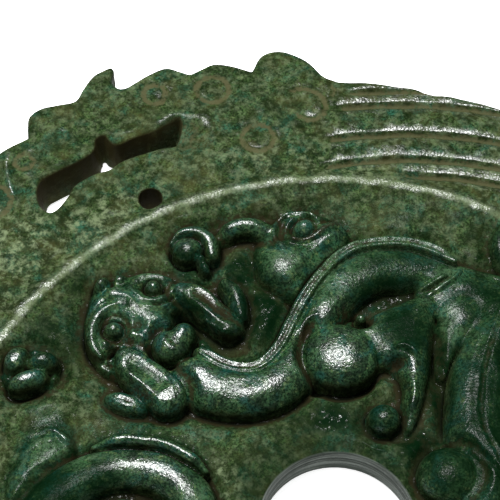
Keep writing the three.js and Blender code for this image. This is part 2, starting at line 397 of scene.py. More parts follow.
def first_hind_leg():
    plate([
        (3, 43.8), (8, 45.4), (12, 47.2), (16, 49.2), (19.4, 50.2), (21.2, 48), (21.2, 42), (20.2, 36),
        (18.8, 30), (17.3, 24.5), (15.8, 20.6), (14, 18.6), (12.7, 20.6), (13, 24.5), (13.6, 28.5),
        (12.8, 31.2), (10, 33), (4, 31), (0, 36),
    ], 11.5, 5.2, moat=(1.6, 3.2), brown=0.8, dome=0.3)
    dish(12.8, 33.6, 2.6, 1.8, 2, 15, brown=0.9)
    line([(11.4, 36), (13.6, 36.8), (15.8, 35.8), (17.1, 33.8)], 0.8, -0.9)
    line([(14.1, 32), (15.2, 29.5), (15.8, 26), (15, 23.3)], 1.2, -0.7)
    # the haunch: a ball cut free along its near side, running into the thigh on the far side
    line(spiral(1.6, 35.4, 8.3, 7.9, 118, 335, 12), 1.9, 2.3, brown=0.9, taper=4)
    dish(0.5, 35.4, 9, 8.2, 4)
    boss(1.5, 35.4, 8, 7.3, 13.6, blend=0.6, moat=(0, 0.5), brown=0, flat=2.5)
    line([(-6.4, 37), (-6.3, 40.2), (-5, 42.6), (-2.4, 43.9)], 0.6, -0.55)
    dish(6.2, 43.2, 3.6, 3, 3.6, 10, brown=1)
    boss(5.7, 43.4, 1.3, 1.2, 11.6, moat=(0.4, 0.6), brown=0.8, root=8)
    # the foot
    boss(9.5, 21.6, 3.5, 3.4, 12.4, moat=(1.5, 2.6), brown=0.8, flat=2.2)
    line([(5.2, 19.4), (6.8, 17.5), (9.3, 16.6), (12.2, 17)], 0.6, -0.6)
    line([(5, 17.8), (7, 16), (9.8, 15.2)], 0.45, -0.4)


def first_head():
    # a deep hollow between the head, the far ear and the neck
    line([(-32.5, 43.4), (-30.4, 44.6), (-28, 43.9), (-25.5, 41.4), (-22.5, 39), (-19.5, 38), (-16.6, 39.2)],
         2.4, 1.8, brown=1, taper=1)
    plate([
        (-49.6, 50), (-50.3, 46), (-50.6, 42), (-50, 38), (-48.4, 34.6), (-45.5, 31.4), (-41, 29.5),
        (-36, 31), (-33.5, 34), (-32.4, 38), (-32.4, 42), (-32, 44.6), (-29.6, 46.6), (-28.6, 49.5),
        (-30, 52.6), (-33.4, 54.4), (-37.5, 55), (-41, 54.6), (-43.6, 54), (-46, 53.6), (-48.4, 52.6),
    ], 11.2, 3.4, moat=(1.3, 3.2), brown=0.8, dome=0.5)
    # forehead and bridge of the nose, then the two folds of the snout
    tube([(-34.5, 42, 2.6, 11.7), (-38, 44.2, 3.3, 12.2), (-41.4, 46.4, 3.5, 12.4),
          (-44.6, 48.8, 2.8, 12.2)], blend=1.8, moat=(0, 0.5), brown=0)
    boss(-43.4, 52.2, 2.3, 1.8, 11.8, 20, blend=0.5, moat=(0.3, 0.8), brown=0.3)
    boss(-47.2, 51.2, 2.5, 1.7, 12.4, 62, blend=0.2, moat=(0.7, 1), brown=0.5)
    line([(-45.2, 49.6), (-44.9, 51.5), (-45.4, 53.6)], 0.6, 0.8, brown=0.5)
    # a hollow and a ridge at the temple
    dish(-39.4, 41.4, 1.6, 2.4, 0.7, 10, brown=0.7)
    line([(-37.4, 42.6), (-37, 40.2), (-37.6, 37.6)], 0.9, -0.7)
    # near eye: a ball in a ringed socket, within a thick curved cheek ridge
    dish(-44.1, 41, 4.2, 3.9, 2, brown=0.3)
    ring(-44.1, 41, 2.9, 0.75, 0.6, brown=0.75)
    boss(-44.3, 40.7, 2.1, 2, 12.5, moat=(0.9, 0.7), brown=0.9, root=9)
    tube([(-42.6, 46.6, 0.8, 12), (-45.2, 45.8, 1.2, 12.1), (-47.3, 44.2, 1.4, 12), (-48.5, 41.6, 1.5, 11.9),
          (-48.6, 38.8, 1.4, 11.9), (-47.8, 36.4, 1.2, 11.9), (-46.4, 34.6, 0.8, 11.6)],
          blend=0.5, moat=(0.5, 0.8), brown=0.3, root=9)
    dish(-44, 35.9, 2.5, 1.5, 2.2, 20, brown=0.8)
    tube([(-45, 34, 0.9, 11.4), (-43.2, 35, 1.3, 11.8), (-41.6, 36.8, 1, 11.6)], blend=0.3, moat=(0.4, 0.7))
    # far eye: a ball in an almond socket under two curved folds
    dish(-37, 50.9, 4.6, 3, 2, 8, brown=0.55)
    boss(-36.6, 50.4, 1.9, 1.8, 12.8, moat=(1, 0.7), brown=0.9, root=9)
    line([(-41.6, 51), (-40.4, 48.9), (-38.4, 47.4), (-36, 47), (-34, 48.2), (-32.9, 50.4), (-32.8, 53)],
         0.75, -0.8)
    line([(-38.6, 45.9), (-36, 45.3), (-33.4, 46.4), (-31.8, 48.6), (-31.2, 51.4), (-31.4, 53.4)], 0.7, -0.7)
    line([(-37.4, 46.6), (-35.4, 46.1), (-33.4, 47.2), (-32.2, 49.4), (-32, 52.4)], 0.5, 0.7, brown=0.6)
    line([(-40.6, 53.2), (-38.2, 54), (-35.6, 53.8), (-33.8, 52.6)], 0.6, -0.5)


def first_ears():
    # near ear: a broad flat leaf with a shallow channel
    tube([(-41.8, 35, 2.4, 11.8), (-40.4, 33.2, 3.7, 12.3), (-37, 30, 4.5, 12.6), (-33.6, 27, 4.4, 12.5),
          (-33, 26.4, 4.3, 12.4)], flat=2.5, moat=(1.5, 2.4), brown=0.8)
    line([(-41.4, 34.4), (-37.6, 31), (-33.2, 26.8)], 2.3, 0.9)
    line([(-39.2, 35.8), (-36, 33.6), (-32.8, 30.8), (-30.4, 27.8), (-30, 25)], 0.6, -0.45)
    line([(-42, 31.6), (-38.8, 28.4), (-35.6, 25.4), (-33.4, 24)], 0.8, -0.4)
    # the ball on the crown, in a cup with a thin rim
    boss(-32.6, 37.4, 4.1, 3.8, 13.4, moat=(1.8, 1.9), brown=0.7, flat=2.5)
    boss(-30.3, 39.8, 3.3, 2.9, 12.9, 60, blend=1.2, moat=(0.5, 1))
    line([(-38.2, 40), (-38, 36.8), (-36.6, 34.4), (-34.2, 32.7), (-31.4, 32.2), (-29.2, 33.4)], 0.55, -0.6)
    # far ear: a long leaf with a brown channel and a sharp near edge
    tube([(-31, 50.2, 2.2, 11.6), (-28, 48.8, 3.1, 12.3), (-24.6, 45.9, 3.4, 12.5), (-21.2, 42.7, 3.2, 12.4),
          (-20.8, 42.2, 3.1, 12.4)], flat=2.5, moat=(1.6, 2.2), brown=1)
    line([(-29, 49.9), (-26, 47.5), (-22.8, 44.5), (-20.6, 42.6)], 1.8, 1, brown=0.9)
    line([(-33.6, 45.2), (-31, 46.2), (-28.4, 45), (-26, 42.8), (-23.4, 40.6), (-20.6, 39.6)], 0.8, -1.1)
    line([(-33, 44.6), (-30.5, 45.3), (-28, 44.4), (-25.8, 42.8)], 1.3, 1.8, brown=0.6)
    tube([(-21.8, 52, 1.7, 11), (-20.2, 50, 2.2, 11.9), (-19.2, 47.4, 2.2, 11.9), (-18.6, 44.6, 1.7, 11)],
         moat=(1.4, 2.4), brown=1)
    boss(-41.4, 25.4, 4.8, 2.3, 10.4, -20, moat=(1, 1.8), brown=0.9)
    dish(-41.6, 25.6, 3.4, 1, 0.6, -20, brown=0.6)


def first_dragon():
    first_shoulder()
    # the body lies over the shoulder's edge, and the spine runs along its far side
    tube(FIRST_BODY, moat=(1.4, 2.4), brown=0.9, flat=2.2)
    line(beside(FIRST_SPINE, 2.6), 2.4, 1.3, brown=0.25, taper=4)
    ribbon(FIRST_SPINE, 1.7, 12.5, brown=0.3)
    line([(-3.4, 54), (-0.4, 58), (3.6, 61.2), (8, 62.6), (12, 62.9)], 0.7, 0.3, brown=1)
    first_hind_leg()
    first_paw()
    first_head()
    first_ears()
    # the slope behind the knee, under a folded strip
    boss(28, 48.4, 11, 6.2, 10.7, -12, blend=3, moat=(0.3, 1.5), brown=0.1)
    tube([(26, 44.5, 4.5, 10.3), (23.6, 40, 3, 9.8), (22.2, 35.5, 1.8, 9), (21.6, 32, 1, 8.2)],
         blend=2.5, moat=(0.3, 1.2), brown=0.1)
    line([(16.6, 50), (19.4, 51.2), (22.4, 52.6), (24.4, 54)], 0.8, -0.9)
    line([(19.4, 49.4), (22.4, 50.8), (25.2, 52.8), (27.2, 55.6)], 0.8, -1)
    line([(18, 50), (21.4, 51.4), (24.4, 53), (26, 55)], 0.5, 0.6, brown=0.5)
    # a deep channel between the knee and the other dragon
    line([(21.2, 42), (20.9, 37), (21.2, 31), (21.4, 26), (20, 20), (16.5, 15.5)], 2.2, 1.4, brown=0.7)


SECOND_BODY = [
    (-42, -58, 3, 9.6), (-38.6, -50, 4.4, 11.2), (-34, -41, 5.8, 12.2), (-29.7, -31, 6.6, 12.5),
    (-28, -20, 6.6, 12.5), (-27.6, -9, 5.4, 12.3), (-27, 0, 4.8, 12.1), (-28.6, 6.3, 4.6, 12.2),
    (-34, 10.3, 4.5, 12.3), (-41, 11.4, 4.5, 12.3), (-47.5, 10, 4.7, 12.2), (-53.2, 6, 5, 12.2),
    (-57, 0, 5, 12.2), (-58.6, -8, 5, 12.2), (-57.5, -16, 4.4, 12),
]


SECOND_SPINE = [
    (-38, -50), (-34.6, -44.5), (-31.8, -38), (-29.8, -32), (-29, -27), (-28.4, -22), (-29.2, -17.5),
    (-31, -13), (-32.5, -8.5),
]


def second_head():
    plate([
        (-63, -24), (-60, -18.5), (-54, -17), (-47, -18), (-42.5, -22), (-42, -28), (-45, -33), (-50, -37),
        (-54, -40.5), (-58, -40.5), (-60.5, -37), (-62.5, -31),
    ], 11.5, 2.8, moat=(1.1, 3.2), dome=0.5)
    tube([(-50.5, -24, 2.4, 12), (-53.5, -29, 2.9, 12.6), (-56, -34.5, 2.7, 12.3)],
         blend=1, moat=(0, 0.5), brown=0)
    boss(-57, -38.5, 2.4, 1.9, 12.2, -30, blend=0.3, moat=(0.4, 0.9), brown=0.2)
    for x, y, lid in ((-59, -27.5, 80), (-48.5, -31.5, 260)):
        dish(x, y, 3.7, 3.3, 1.5, brown=0.4)
        boss(x, y, 1.8, 1.8, 12.2, blend=0.1, moat=(0.35, 0.6), brown=0.3, root=9.5)
        line(spiral(x, y, 4, 4, lid, lid + 160), 0.8, -0.6)
    boss(-50.5, -19.5, 3.5, 3.3, 13, moat=(1, 1.6))
    tube([(-60.5, -21.5, 2.4, 11.6), (-63.4, -17, 3.6, 12.4), (-65, -11.5, 3.9, 12.4),
          (-65, -8.5, 3.5, 12.2)], flat=2.6, moat=(1.1, 2.4))
    line([(-62, -19), (-63.4, -14), (-63.6, -9)], 0.5, 0.55)
    tube([(-45.5, -29.5, 2.2, 11.6), (-41, -31.5, 3.2, 12.3), (-37, -34, 3, 12.2)],
         flat=2.6, moat=(1.1, 2.2))
    line([(-44, -30), (-40.5, -31.3), (-37, -33.4)], 0.5, 0.5)


def second_dragon():
    plate([
        (-64, 9), (-62, 14), (-58.5, 19), (-54.5, 20.5), (-51, 17.5), (-50, 12), (-53, 6), (-58, 2),
        (-63, 3),
    ], 10.4, 5, moat=(0.8, 2.6), brown=0.2)
    line([(-61.4, 16.6), (-59.6, 18.6), (-57, 19.6), (-54.2, 18.8), (-51.4, 16)], 1.1, -1.3)
    line([(-65, 11.6), (-61.6, 14.6), (-57.5, 17), (-54, 16.2)], 1.4, -0.8)
    line([(-60.4, 8.6), (-57.5, 11), (-54.4, 12)], 0.7, 0.45, brown=0.6)
    tube([(-57, 15, 6, 8.9), (-57.4, 22, 5.4, 9), (-59, 28, 5, 9.4)], blend=1, moat=(0.5, 2.8), brown=0.3)
    tube(SECOND_BODY, moat=(1.3, 2), brown=0.7, flat=2.05)
    # a plain band along the outside of the neck
    band = tapered(beside(SECOND_BODY[7:11], -5.4), 1.5, 11.9, 0.8, 10)
    tube(band, blend=0.2, moat=(0.5, 0.8), brown=0.3, root=8.2)
    ribbon(SECOND_SPINE, 1.7, 12.7, moat=(0.2, 1), brown=0.2)
    for shift in (0, 1.8):
        line([(-25.4 - shift, -15.5), (-28 - shift, -12.4), (-30.4 - shift, -9)], 0.8, -0.5)
    tube([(-41, -6, 4, 11.6), (-46, -11, 3.4, 11.2), (-46, -16, 2.8, 10.9), (-42.5, -19, 2.5, 10.4)])
    boss(-40.5, -1.6, 7.4, 7, 13.1, blend=0.6, moat=(1.4, 2.6))
    boss(-21.6, -10, 6.2, 6.1, 12.8, moat=(1.8, 2.4), brown=0.9)
    boss(-39.4, -20.6, 3.1, 3.1, 11.5, moat=(1.1, 2.4))
    boss(-60.8, 32.4, 5.9, 5.2, 11.4, 10, moat=(1.4, 3), brown=0.7)
    for x, y, long, wide, turn in ((-63.4, 34.2, 3.3, 2.6, 60), (-58.2, 33.6, 3.4, 2.4, 10),
                                   (-60.8, 29.6, 4.4, 2.3, 20)):
        boss(x, y, long, wide, 12.6, turn, blend=0.3, moat=(0.8, 0.9), brown=0.3, flat=2.6)
    second_head()
    tube([(-40, -52, 2.4, 10.8), (-36.8, -56.5, 2.2, 11), (-35.2, -62, 1.9, 10.8), (-37, -66.5, 1.6, 10.2)],
         blend=0.5)


# Where the ground and the limbs are painted dark, partly for wax and partly as painted shade in hollows and
# between forms, and where the polish is worn, which also paints the relief a little paler, partly as a
# painted soft sheen: x, y, long, wide, amount, and a turn if there is one
WAX_AND_SHADE_SPOTS = [
    (-14.5, 46, 8, 11, 1), (-18, 56, 6, 7, 1), (-28, 57, 8, 4, 0.8), (-29, 45.8, 6, 3, 1, -25),
    (-56, 39, 9, 10, 0.75), (-52, 52, 5, 6, 0.5), (15, 41, 8, 9, 1), (21, 30, 5, 17, 1),
    (1, 21.5, 17, 6, 0.75), (-0.5, 22.5, 7, 5, 1), (17, 16, 8, 7, 1), (33, 22, 14, 30, 0.95, -10),
    (21.6, 10, 8, 8, 0.8), (38, 60, 14, 12, 0.5, -30), (11, 50, 11, 5, 1, 12), (-24, 40, 8, 4, 0.8, -30),
    (-56, 4, 12, 10, 0.95, 50), (-46, 8, 7, 5, 0.8), (31, 48, 9, 9, 0.8), (13, 56, 13, 6, 0.65, 5),
]
WEAR = [
    (-70, 56, 22, 12, 0.9, 48), (-50, 66, 22, 7, 0.6, 35), (0, 82, 40, 5, 0.45), (40, 76, 16, 10, 0.5, -30),
    (9, 56.5, 12, 6.5, 0.9, 5), (21, 55, 9, 6, 0.75, -10), (0.5, 50.5, 7, 4.5, 0.8, 55),
    (12, 41.5, 8, 7, 0.85), (0, 56.5, 5, 4, 0.9, 50), (-13, 62.5, 3, 3, 0.6), (-8.5, 31.5, 3, 3.5, 0.4),
    (-2.4, 41.5, 4, 3, 0.4), (-10, 56, 6, 5, 0.7), (-5, 65, 8, 4, 0.35), (-20, 28, 8, 4, 0.25),
    (27, 46, 9, 8, 0.5), (23.5, 41, 4, 9, 1), (16, 60.5, 13, 4, 0.85, -8), (4, 59, 6, 4, 0.8, 30),
    (-1, 54, 4, 5, 0.9, 50), (-40, 45, 8, 6, 0.65), (-37, 53, 4, 2, 0.8), (-36.5, 30, 5, 3, 0.5, -45),
    (-46, 42, 4, 8, 0.3), (-56, 6, 12, 9, 1, 55), (-49, 9.8, 9, 7, 1), (-57.5, 25, 7, 5, 1),
    (-42, 9, 6, 3, 0.5), (-27, 0, 7, 9, 0.9), (-30, -30, 10, 30, 0.5), (-61, 12, 7, 7, 0.8),
    (-21.6, -10, 8, 8, 0.75), (-22.5, 7, 5, 8, 1), (-56, 14, 8, 5, 0.95),
]


def hand_work():
    """The stone is not quite level anywhere: its faces were ground by hand."""
    rng = np.random.default_rng(41)
    for wave, rise, count in ((16, 0.05, 14), (7, 0.035, 18), (3.4, 0.018, 22)):
        for _ in range(count):
            angle, phase, stretch = rng.uniform(0, 2 * math.pi, 3)
            pitch = wave * (0.75 + 0.5 * stretch / (2 * math.pi))
            across = (X * math.cos(angle) + Y * math.sin(angle)) * (2 * math.pi / pitch)
            slab.height += rise / math.sqrt(count) * 2 * np.sin(across + phase)


# The plan: signed distance to the outline and to every hole, negative in the stone

# The plain edge runs between these angles
EDGE_FROM = 154
EDGE_TO = 268.5
TAIL_NOTCH = polar(107.4, 140)
LOBES = [
    # crown knob, brow knob, cheek and hook of the horn, back of the horn, nose
    [polar(EDGE_RADIUS, 88.5), (-0.6, 105.9), (-4.2, 110.1), (-9.6, 112.6), (-14.2, 111.3), (-16.4, 106.8)],
    [(-16.4, 106.8), (-20.5, 108.4), (-25, 109), (-28.4, 107), (-30.2, 106.1), (-32, 106.7), (-35.8, 107.8),
     (-40.8, 105), (-44.6, 102.2), (-46.6, 102.6), (-47.5, 104.6), (-47.2, 107.3), (-47.9, 108.1)],
    [(-47.9, 108.1), (-49.4, 107.5), (-51.6, 105.9), (-53.9, 102), (-55.6, 98.5), (-59.5, 97.6)],
    [(-59.5, 97.6), (-63, 96.6), (-65.3, 94.7), (-65.5, 92), (-65.2, 88.8)],
    # curled tail tip of the other dragon, and the cloud behind it
    [(-65.2, 88.8), (-70.8, 85.1), polar(110.5, 135.5), TAIL_NOTCH],
    [TAIL_NOTCH, polar(110.5, 144.5), polar(108.5, 149.5), polar(EDGE_RADIUS, EDGE_FROM)],
]
MOUTH = [
    # far lip and tooth notch
    (-62.2, 74.8), (-61.4, 77.5), (-58.6, 79.5), (-51.2, 84.4), (-50.4, 88.2), (-48.6, 89.3), (-47, 87.4),
    (-45.4, 86.7), (-41.7, 88.6), (-37.5, 90.6), (-32.6, 94),
    # corner of the mouth and near lip
    (-31.4, 92.8), (-31.6, 90), (-32.6, 87.4), (-35.4, 85.9), (-39.8, 84.3), (-44.2, 82.4), (-46.9, 80.2),
    (-50.2, 79), (-54, 76.3), (-55.6, 73.1), (-58.6, 69.3), (-61.3, 71),
]
# x, y, radius
DRILL = (-37.9, 72.9, 2.5)
TOOTH = (-48, 82, 5)
# How far a wall of the mouth leans in for each millimetre down: at the tooth, in the corner, elsewhere
TOOTH_LEAN = 0.09
CORNER_LEAN = 0.2
LIP_LEAN = 0.12
CORNER_FROM_X = -39
# How far the stone's edges are rounded over
RIM_ROUNDING = 1.5
BORE_ROUNDING = 0.3
MOUTH_ROUNDING = 0.7
DRILL_ROUNDING = 0.5
UNDERSIDE_ROUNDING = 1.2
# Distances in plan are true up to this
PLAN_REACH = 4


def outline_half():
    lobes = [spline(lobe, 0.8)[:-1] for lobe in LOBES]
    edge = [polar(EDGE_RADIUS, at) for at in np.arange(EDGE_FROM, EDGE_TO, 0.75)]
    return np.vstack([*lobes, edge])


def loop_distance(loop, where, reach):
    """Signed distance to a closed loop over a window, negative inside, true only within reach of it."""
    xs, ys = AXIS[where[0]], AXIS[where[1]]
    distance = np.full((len(xs), len(ys)), reach, np.float32)
    inside = np.zeros(distance.shape, bool)
    for (ax, ay), (bx, by) in zip(loop, np.roll(loop, -1, axis=0)):
        across = np.searchsorted(xs, (min(ax, bx) - reach, max(ax, bx) + reach))
        upward = np.searchsorted(ys, (min(ay, by) - reach, max(ay, by) + reach))
        spot = slice(*across), slice(*upward)
        dx, dy = xs[spot[0], None] - ax, ys[None, spot[1]] - ay
        t = np.clip((dx * (bx - ax) + dy * (by - ay)) / max((bx - ax) ** 2 + (by - ay) ** 2, 1e-9), 0, 1)
        distance[spot] = np.minimum(distance[spot], np.hypot(dx - t * (bx - ax), dy - t * (by - ay)))
        rows = slice(*np.searchsorted(ys, (min(ay, by), max(ay, by))))
        if rows.stop > rows.start:
            cross = ax + (ys[rows] - ay) / (by - ay) * (bx - ax)
            inside[:, rows] ^= xs[:, None] < cross[None, :]
    return np.where(inside, -distance, distance)


def plan():
    """The stone's signed distance in plan, how far each edge is rounded over, the lean of its walls, and
    where the small openings are."""
    half = outline_half()
    everywhere = slice(0, COUNT), slice(0, COUNT)
    stone = loop_distance(np.vstack([half, -half]), everywhere, PLAN_REACH)
    edge = np.full(stone.shape, RIM_ROUNDING, np.float32)
    mouth = loop_distance(closed(MOUTH, 0.6), everywhere, PLAN_REACH)
    drill = np.hypot(X - DRILL[0], Y - DRILL[1]) - DRILL[2]
    holes = [(BORE_RADIUS - RADIUS, BORE_ROUNDING)]
    for hole, rounding in ((mouth, MOUTH_ROUNDING), (drill, DRILL_ROUNDING)):
        holes += [(-hole, rounding), (-hole[::-1, ::-1], rounding)]
    for hole, rounding in holes:
        edge = np.where(hole > stone, rounding, edge)
        stone = np.maximum(stone, hole)
    lean = np.where(X > CORNER_FROM_X, CORNER_LEAN, LIP_LEAN)
    lean = np.where(np.hypot(X - TOOTH[0], Y - TOOTH[1]) < TOOTH[2], TOOTH_LEAN, lean)
    draft = np.zeros(stone.shape, np.float32)
    for view in (draft, draft[::-1, ::-1]):
        view[mouth < 3] = lean[mouth < 3]
    pierced = np.clip(1.4 - np.abs(np.minimum(mouth, drill)), 0, 1)
    return stone, edge, draft, np.maximum(pierced, pierced[::-1, ::-1])


# The solid


def rounded(a, b, radius):
    """Two faces meeting in an edge of the given radius."""
    a = a + radius
    b = b + radius
    return np.hypot(np.maximum(a, 0), np.maximum(b, 0)) + np.minimum(np.maximum(a, b), 0) - radius


def solid_field(height, stone, edge, draft):
    """The stone as a field over a block of cells: negative inside, near true distance at its skin.
    draft says by how much a wall leans in for each millimetre of depth."""
    slope_x, slope_y = np.gradient(height, CELL)
    lean = 1 / np.sqrt(1 + slope_x**2 + slope_y**2)
    layers = np.arange(-3 * CELL, height.max() + 4 * CELL, CELL)
    field = np.empty((COUNT, COUNT, len(layers)), np.float32)
    for k, z in enumerate(layers):
        wall = stone - draft * np.clip(BORDER_TOP - z, 0, BORDER_TOP)
        top = rounded(wall, (z - height) * lean, edge)
        bottom = rounded(wall, np.float32(-z), UNDERSIDE_ROUNDING)
        field[:, :, k] = np.clip(np.maximum(top, bottom), -4 * CELL, 4 * CELL)
    return field, layers[0]


def skin(field, lowest):
    """The field's skin as points in millimetres and faces."""
    grid = openvdb.FloatGrid(4 * CELL)
    grid.copyFromArray(field)
    points, triangles, quads = grid.convertToPolygons(isovalue=0.0, adaptivity=0.0)
    points = points * CELL
    points[:, 0] += AXIS[0]
    points[:, 1] += AXIS[0]
    points[:, 2] += lowest
    return points, triangles, quads


def values_at(values, start, points):
    """Values of a map or a field at points, from the cells round each. start is where its first cell is."""
    spot = np.clip((points - start) / CELL, 0, np.array(values.shape) - 1.001)
    base = spot.astype(int)
    part = spot - base
    total = np.zeros(len(points))
    for corner in np.ndindex((2,) * values.ndim):
        weight = np.prod(np.where(corner, part, 1 - part), axis=1)
        total += weight * values[tuple((base + corner).T)]
    return total


def skin_normals(field, lowest, points):
    start = (AXIS[0], AXIS[0], lowest)
    slope = []
    for step in 0.75 * CELL * np.eye(3):
        slope.append(values_at(field, start, points + step) - values_at(field, start, points - step))
    slope = np.array(slope).T
    return slope / np.maximum(np.linalg.norm(slope, axis=1, keepdims=True), 1e-9)


def blurred(values, radius):
    """A smooth average over a radius in millimetres."""
    reach = max(1, round(radius / CELL))
    kernel = np.hanning(2 * reach + 3)[1:-1]
    kernel /= kernel.sum()
    padded = np.pad(values, reach, mode="edge")
    rows = sum(w * padded[i : i + COUNT, :] for i, w in enumerate(kernel))
    return sum(w * rows[:, j : j + COUNT] for j, w in enumerate(kernel))


def mesh_of(points, triangles, quads):
    mesh = bpy.data.meshes.new("dense")
    corners = np.concatenate([triangles.ravel(), quads.ravel()]).astype(np.int32)
    sizes = np.concatenate([np.full(len(triangles), 3), np.full(len(quads), 4)])
    starts = np.concatenate([[0], np.cumsum(sizes)[:-1]]).astype(np.int32)
    mesh.vertices.add(len(points))
    mesh.vertices.foreach_set("co", (points * MM).astype(np.float32).ravel())
    mesh.loops.add(len(corners))
    mesh.loops.foreach_set("vertex_index", corners)
    mesh.polygons.add(len(sizes))
    mesh.polygons.foreach_set("loop_start", starts)
    mesh.update(calc_edges=True)
    mesh.validate()
    return mesh


def thinned(mesh):
    """The mesh with fewer faces, where the form needs them least."""
    piece = shown("dense", mesh)
    mesh.calc_loop_triangles()
    fewer = piece.modifiers.new("fewer", "DECIMATE")
    fewer.ratio = min(1, FACES_WANTED / len(mesh.loop_triangles))
    result = bpy.data.meshes.new_from_object(piece.evaluated_get(bpy.context.evaluated_depsgraph_get()))
    bpy.data.objects.remove(piece)
    return result


def carve():
    """Carves the slab, and gives how high it then stands over the plain one."""
    plain_slab()
    plain = slab.height.copy()
    for work in (mane, border_head, second_dragon, first_dragon, hand_work):
        work()
    for spot in WEAR:
        patch(slab.worn, *spot)
    for spot in WAX_AND_SHADE_SPOTS:
        patch(slab.wax_and_shade, *spot)
    return slab.height - plain


# What the maps go by: how high relief stands, how far round it the ground is painted dark, partly for wax
# and partly as painted shade, how wide a hollow is taken to be, and up to which height the stone carries no
# marks
RELIEF_STANDS = 1.4
WAX_AND_SHADE_REACH = 5.0
HOLLOW_REACH = 2.0
UNMARKED = 3.0


def mark(mesh, raised, pierced, points, normals):
    """Writes the maps that the material reads onto the mesh, on the faces that each is for."""
    relief = soft_step(raised / RELIEF_STANDS) * (RADIUS < RIM_RADIUS)
    near_relief = np.clip(2.4 * blurred(relief.astype(np.float32), WAX_AND_SHADE_REACH), 0, 1)
    hollow = blurred(slab.height, HOLLOW_REACH) - slab.height
    maps = {"hollow": hollow, "stain": slab.stain, "worn": slab.worn, "wax_and_shade": slab.wax_and_shade, "relief": relief,
            "near_relief": near_relief, "pierced": pierced}
    facing_up = np.clip(normals[:, 2] * 2, 0, 1) * (points[:, 2] > UNMARKED)
    upright = np.clip(1.3 - 1.6 * np.abs(normals[:, 2]), 0, 1)
    for name, values in maps.items():
        share = upright if name == "pierced" else facing_up
        found = values_at(values, AXIS[0], points[:, :2]) * share
        layer = mesh.attributes.new(name, "FLOAT", "POINT")
        layer.data.foreach_set("value", found.astype(np.float32))


def carved_stone():
    raised = carve()
    stone, edge, draft, pierced = plan()
    field, lowest = solid_field(slab.height, stone, edge, draft)
    mesh = thinned(mesh_of(*skin(field, lowest)))
    mesh.name = "carved_stone"
    points = np.empty(len(mesh.vertices) * 3, np.float32)
    mesh.vertices.foreach_get("co", points)
    points = points.reshape(-1, 3) / MM
    normals = skin_normals(field, lowest, points)
    mark(mesh, raised, pierced, points, normals)
    mesh.polygons.foreach_set("use_smooth", np.ones(len(mesh.polygons), bool))
    mesh.normals_split_custom_set_from_vertices(normals)
    return mesh


def shown(name, data):
    """A new object in the scene."""
    piece = bpy.data.objects.new(name, data)
    bpy.context.scene.collection.objects.link(piece)
    return piece


# Materials


class Shading:
    """Short ways to add and join nodes in one material or node group."""

    def __init__(self, tree):
        self.tree = tree

    def node(self, kind, inputs=(), **settings):
        """A node with its settings, and its inputs by their names or numbers."""
        made = self.tree.nodes.new(kind)
        for name, value in settings.items():
            setattr(made, name, value)
        for name, value in dict(inputs).items():
            self.put(made.inputs[name], value)
        return made

    def put(self, socket, value):
        if isinstance(value, bpy.types.NodeSocket):
            self.tree.links.new(value, socket)
        else:
            socket.default_value = value

    def feed(self, made, values):
        """Gives a node its inputs by name, where an underscore stands for a space."""
        for name, value in values.items():
            self.put(made.inputs[name.replace("_", " ")], value)
        return made.outputs

    def math(self, operation, a, b=0.0, clamp=False, c=0.0):
        given = enumerate((a, b, c))
        return self.node("ShaderNodeMath", given, operation=operation, use_clamp=clamp).outputs[0]

    def noise(self, where, size, detail=2.0, rough=0.5, warp=0.0):
        """Noise whose features are about size metres across."""
        given = {"Vector": where, "Scale": 1 / size, "Detail": detail, "Roughness": rough,
                 "Distortion": warp}
        return self.node("ShaderNodeTexNoise", given).outputs["Fac"]

    def between(self, value, low, high, to_low=0.0, to_high=1.0):
        given = enumerate((value, low, high, to_low, to_high))
        return self.node("ShaderNodeMapRange", given, interpolation_type="SMOOTHSTEP").outputs["Result"]

    def mix(self, share, a, b):
        made = self.node("ShaderNodeMix", {"Factor": share}, data_type="RGBA")
        colours = [socket for socket in (*made.inputs, *made.outputs) if socket.type == "RGBA"]
        self.put(colours[0], a)
        self.put(colours[1], b)
        return colours[2]

    def times(self, first, *others):
        for other in others:
            first = self.math("MULTIPLY", first, other)
        return first

    def rest(self, value):
        """What is left of 1."""
        return self.math("SUBTRACT", 1.0, value, clamp=True)

    def highest(self, a, b):
        return self.math("MAXIMUM", a, b)

    def bump(self, height, depth):
        return self.node("ShaderNodeBump", {"Distance": depth, "Height": height}).outputs[0]


def group(name, inputs, outputs):
    """An empty node group with the given sockets."""
    tree = bpy.data.node_groups.new(name, "ShaderNodeTree")
    for title, kind, value in inputs:
        socket = tree.interface.new_socket(title, in_out="INPUT", socket_type=kind)
        socket.default_value = value
    for title, kind in outputs:
        tree.interface.new_socket(title, in_out="OUTPUT", socket_type=kind)
    made = Shading(tree)
    return made, made.node("NodeGroupInput").outputs, made.node("NodeGroupOutput").inputs


COLOUR = "NodeSocketColor"
NUMBER = "NodeSocketFloat"
PLACE = ("Place", "NodeSocketVector", (0, 0, 0))


